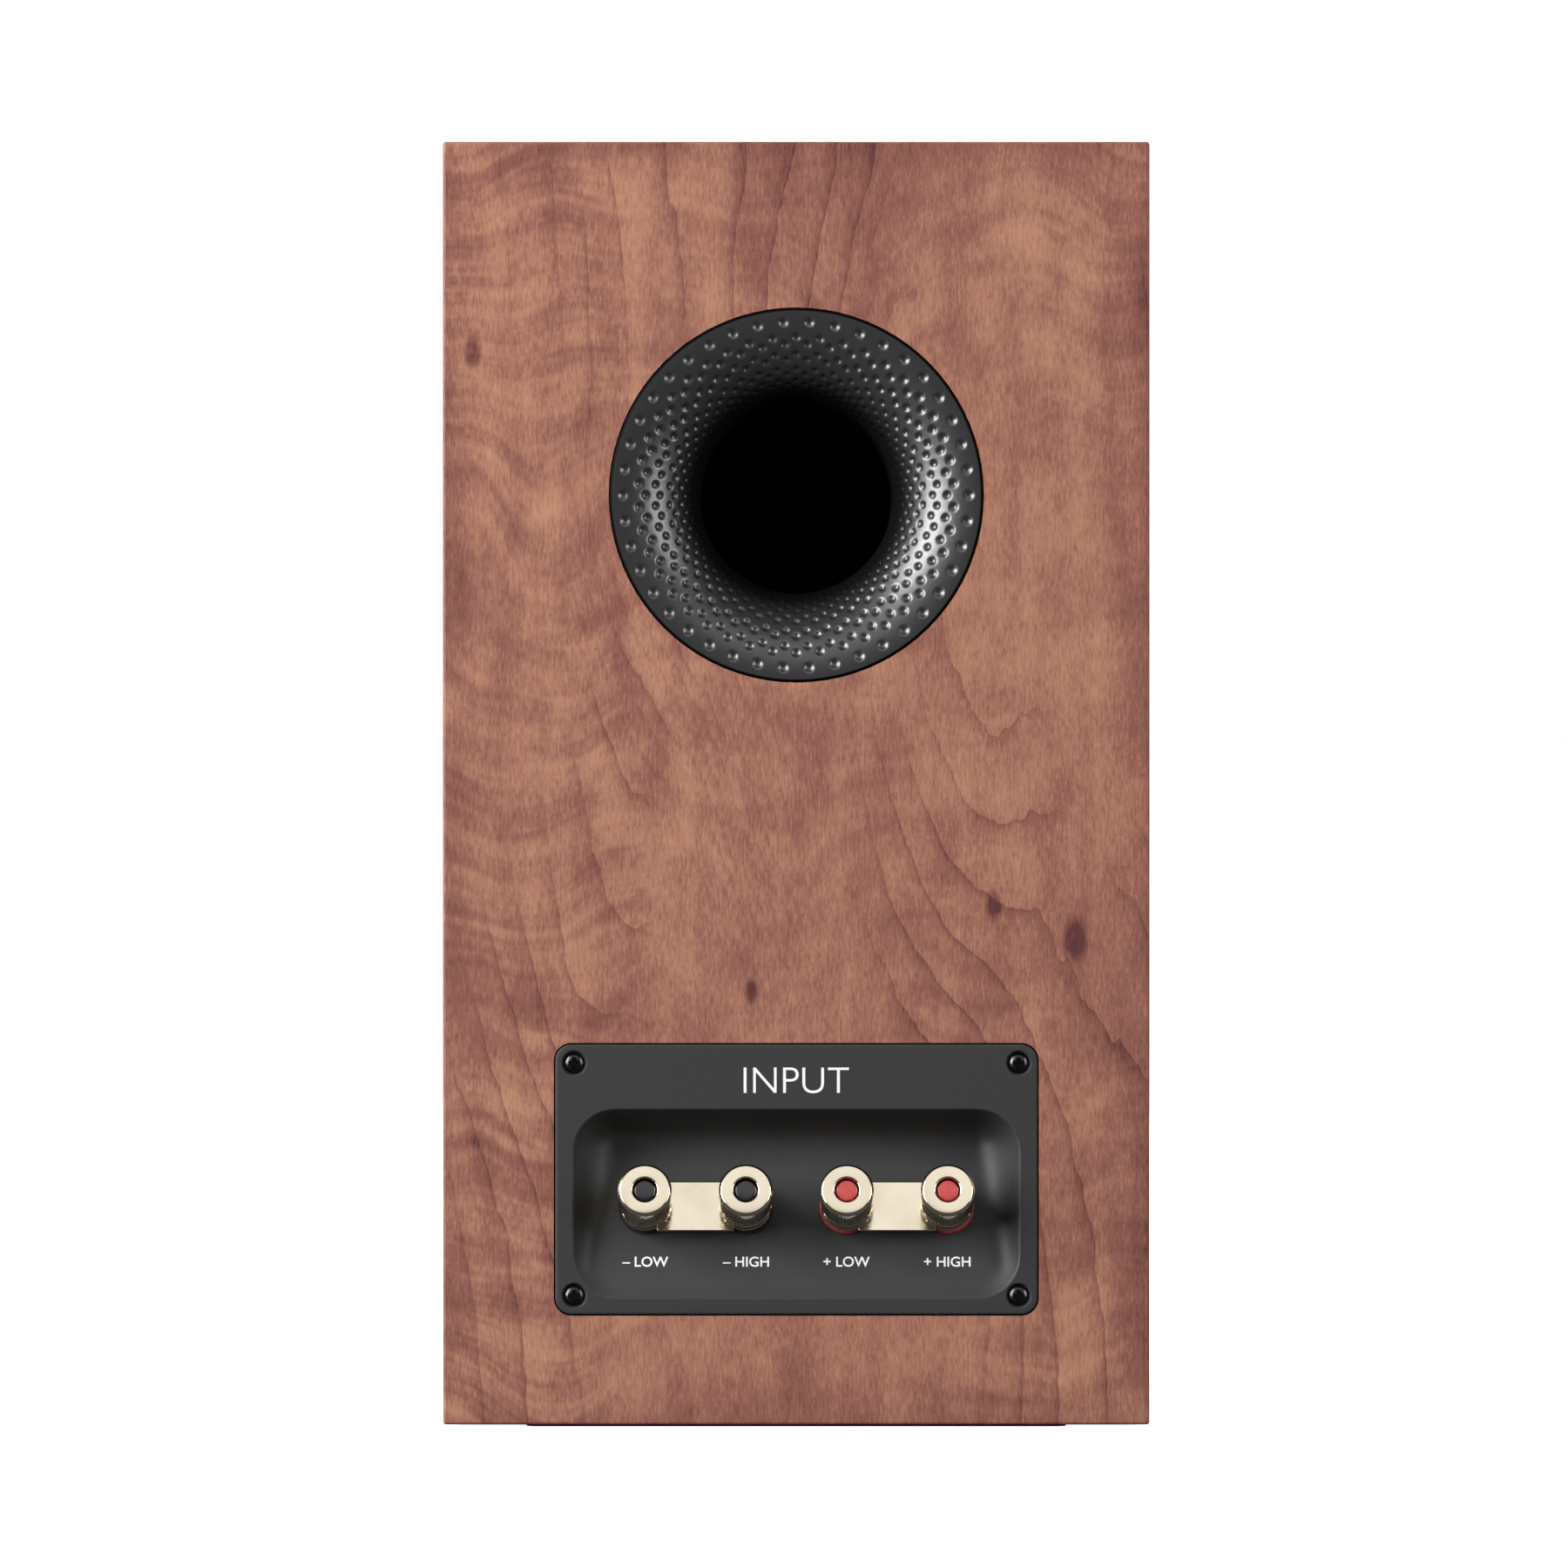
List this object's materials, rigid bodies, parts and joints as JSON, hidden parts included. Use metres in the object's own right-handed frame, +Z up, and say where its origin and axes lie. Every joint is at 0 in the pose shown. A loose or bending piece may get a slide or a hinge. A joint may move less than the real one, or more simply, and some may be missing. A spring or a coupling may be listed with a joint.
{
  "type": "bookshelf loudspeaker",
  "caption": "Bookshelf loudspeaker in a wood-print cabinet, with a flared rear port, a recessed terminal tray with clamping posts and lift-off links, and a woofer and tweeter.",
  "frame": {"origin": "centre of the whole object's footprint, on the plane the foot strips stand on", "axes": "+Z up; the drive units face -Y, the port and the terminals face +Y; +X is on the left seen from behind"},
  "size_m": [0.19, 0.3133, 0.3465],
  "materials": {
    "wrap": "wood-print vinyl over fibreboard, satin",
    "baffle": "fibreboard, satin black paint",
    "bare_board": "raw fibreboard",
    "foot_rubber": "matt",
    "wadding": "polyester wadding",
    "port_plastic": "moulded, satin",
    "tray_plastic": "moulded, matt",
    "gasket_foam": "closed-cell foam",
    "black_screws": "blackened",
    "black_plastic": "moulded, glossy",
    "red_plastic": "moulded, glossy",
    "gold_plate": "pale gold plate, polished",
    "steel": "zinc plated",
    "tinned": "tinned",
    "circuit_board": "glass-epoxy laminate",
    "white_plastic": "nylon",
    "copper": "enamelled copper wire",
    "capacitor_film": "tape-wrapped film",
    "lead_plastic": "insulated wire",
    "basket_alloy": "cast, black powder coat",
    "surround_rubber": "butyl rubber, matt",
    "cone_paper": "coated pulp",
    "spider_cloth": "resin-dipped cloth",
    "ferrite": "ground ferrite",
    "mesh_steel": "perforated steel, black",
    "dome_alloy": "drawn foil",
    "magnet_nickel": "nickel plated"
  },
  "bodies": {
    "root": {"bass_coil": "copper", "board_standoffs": "white_plastic", "bottom_panel": "wrap", "capacitors": "capacitor_film", "crossover_board": "circuit_board", "driver_screws": "black_screws", "foot_strips": "foot_rubber", "front_baffle": "baffle", "insulators_black": "black_plastic", "insulators_red": "red_plastic", "port_flare": "port_plastic", "port_tube": "port_plastic", "post_nuts": "steel", "post_shafts": "gold_plate", "rear_panel": "wrap", "shelf_brace": "bare_board", "side_panel_left": "wrap", "side_panel_right": "wrap", "solder_tags": "tinned", "terminal_tray": "tray_plastic", "top_panel": "wrap", "tray_gasket": "gasket_foam", "tray_leads": "lead_plastic", "tray_screws": "black_screws", "treble_coil": "copper", "tweeter_faceplate": "tray_plastic", "tweeter_leads": "lead_plastic", "tweeter_magnet": "magnet_nickel", "tweeter_mesh": "mesh_steel", "tweeter_surround": "surround_rubber", "tweeter_top_plate": "steel", "tweeter_yoke": "steel", "wadding": "wadding", "woofer_frame": "basket_alloy", "woofer_leads": "lead_plastic", "woofer_magnet": "ferrite", "woofer_spider": "spider_cloth", "woofer_surround": "surround_rubber", "woofer_top_plate": "steel", "woofer_trim_ring": "black_plastic", "woofer_yoke": "steel"},
    "woofer_diaphragm": {"woofer_cone": "cone_paper", "woofer_dust_cap": "cone_paper", "woofer_voice_coil": "copper"},
    "tweeter_diaphragm": {"tweeter_dome": "dome_alloy", "tweeter_voice_coil": "copper"},
    "link_negative": {"link_plate_negative": "gold_plate"},
    "link_positive": {"link_plate_positive": "gold_plate"},
    "washer_1": {"clamp_washer_1": "gold_plate"},
    "clamp_knob_1": {"knob_1": "gold_plate"},
    "socket_plug_1": {"plug_1": "black_plastic"},
    "washer_2": {"clamp_washer_2": "gold_plate"},
    "clamp_knob_2": {"knob_2": "gold_plate"},
    "socket_plug_2": {"plug_2": "black_plastic"},
    "washer_3": {"clamp_washer_3": "gold_plate"},
    "clamp_knob_3": {"knob_3": "gold_plate"},
    "socket_plug_3": {"plug_3": "red_plastic"},
    "washer_4": {"clamp_washer_4": "gold_plate"},
    "clamp_knob_4": {"knob_4": "gold_plate"},
    "socket_plug_4": {"plug_4": "red_plastic"}
  },
  "joints": [
    {"name": "woofer_stroke", "type": "slide", "parent": "root", "child": "woofer_diaphragm", "axis": [0, -1, 0], "range_m": [-0.005, 0.005], "stiffness_N_per_m": 1200, "deforming": ["woofer_surround", "woofer_spider"]},
    {"name": "tweeter_stroke", "type": "slide", "parent": "root", "child": "tweeter_diaphragm", "axis": [0, -1, 0], "range_m": [-0.0004, 0.0004], "stiffness_N_per_m": 900, "deforming": ["tweeter_surround"]},
    {"name": "washer_1_slide", "type": "slide", "parent": "root", "child": "washer_1", "axis": [0, 0.9511, 0.309], "range_m": [0, 0.00502]},
    {"name": "knob_1_turn", "type": "hinge", "parent": "washer_1", "child": "clamp_knob_1", "pos_m": [0.04065, 0.13733, 0.0594], "axis": [0, 0.9511, 0.309], "range_deg": [0, 1800]},
    {"name": "plug_1_pull", "type": "slide", "parent": "root", "child": "socket_plug_1", "axis": [0, 0.9511, 0.309], "range_m": [0, 0.03]},
    {"name": "washer_2_slide", "type": "slide", "parent": "root", "child": "washer_2", "axis": [0, 0.9511, 0.309], "range_m": [0, 0.00502]},
    {"name": "knob_2_turn", "type": "hinge", "parent": "washer_2", "child": "clamp_knob_2", "pos_m": [0.01355, 0.13733, 0.0594], "axis": [0, 0.9511, 0.309], "range_deg": [0, 1800]},
    {"name": "plug_2_pull", "type": "slide", "parent": "root", "child": "socket_plug_2", "axis": [0, 0.9511, 0.309], "range_m": [0, 0.03]},
    {"name": "washer_3_slide", "type": "slide", "parent": "root", "child": "washer_3", "axis": [0, 0.9511, 0.309], "range_m": [0, 0.00502]},
    {"name": "knob_3_turn", "type": "hinge", "parent": "washer_3", "child": "clamp_knob_3", "pos_m": [-0.01355, 0.13733, 0.0594], "axis": [0, 0.9511, 0.309], "range_deg": [0, 1800]},
    {"name": "plug_3_pull", "type": "slide", "parent": "root", "child": "socket_plug_3", "axis": [0, 0.9511, 0.309], "range_m": [0, 0.03]},
    {"name": "washer_4_slide", "type": "slide", "parent": "root", "child": "washer_4", "axis": [0, 0.9511, 0.309], "range_m": [0, 0.00502]},
    {"name": "knob_4_turn", "type": "hinge", "parent": "washer_4", "child": "clamp_knob_4", "pos_m": [-0.04065, 0.13733, 0.0594], "axis": [0, 0.9511, 0.309], "range_deg": [0, 1800]},
    {"name": "plug_4_pull", "type": "slide", "parent": "root", "child": "socket_plug_4", "axis": [0, 0.9511, 0.309], "range_m": [0, 0.03]},
    {"name": "link_negative_lift", "type": "slide", "parent": "root", "child": "link_negative", "axis": [0, -0.309, 0.9511], "range_m": [0, 0.01]},
    {"name": "link_positive_lift", "type": "slide", "parent": "root", "child": "link_positive", "axis": [0, -0.309, 0.9511], "range_m": [0, 0.01]}
  ],
  "couplings": [
    {"joint": "washer_1_slide", "follows": "knob_1_turn", "m_per_rad": 0.00015915},
    {"joint": "washer_2_slide", "follows": "knob_2_turn", "m_per_rad": 0.00015915},
    {"joint": "washer_3_slide", "follows": "knob_3_turn", "m_per_rad": 0.00015915},
    {"joint": "washer_4_slide", "follows": "knob_4_turn", "m_per_rad": 0.00015915}
  ]
}
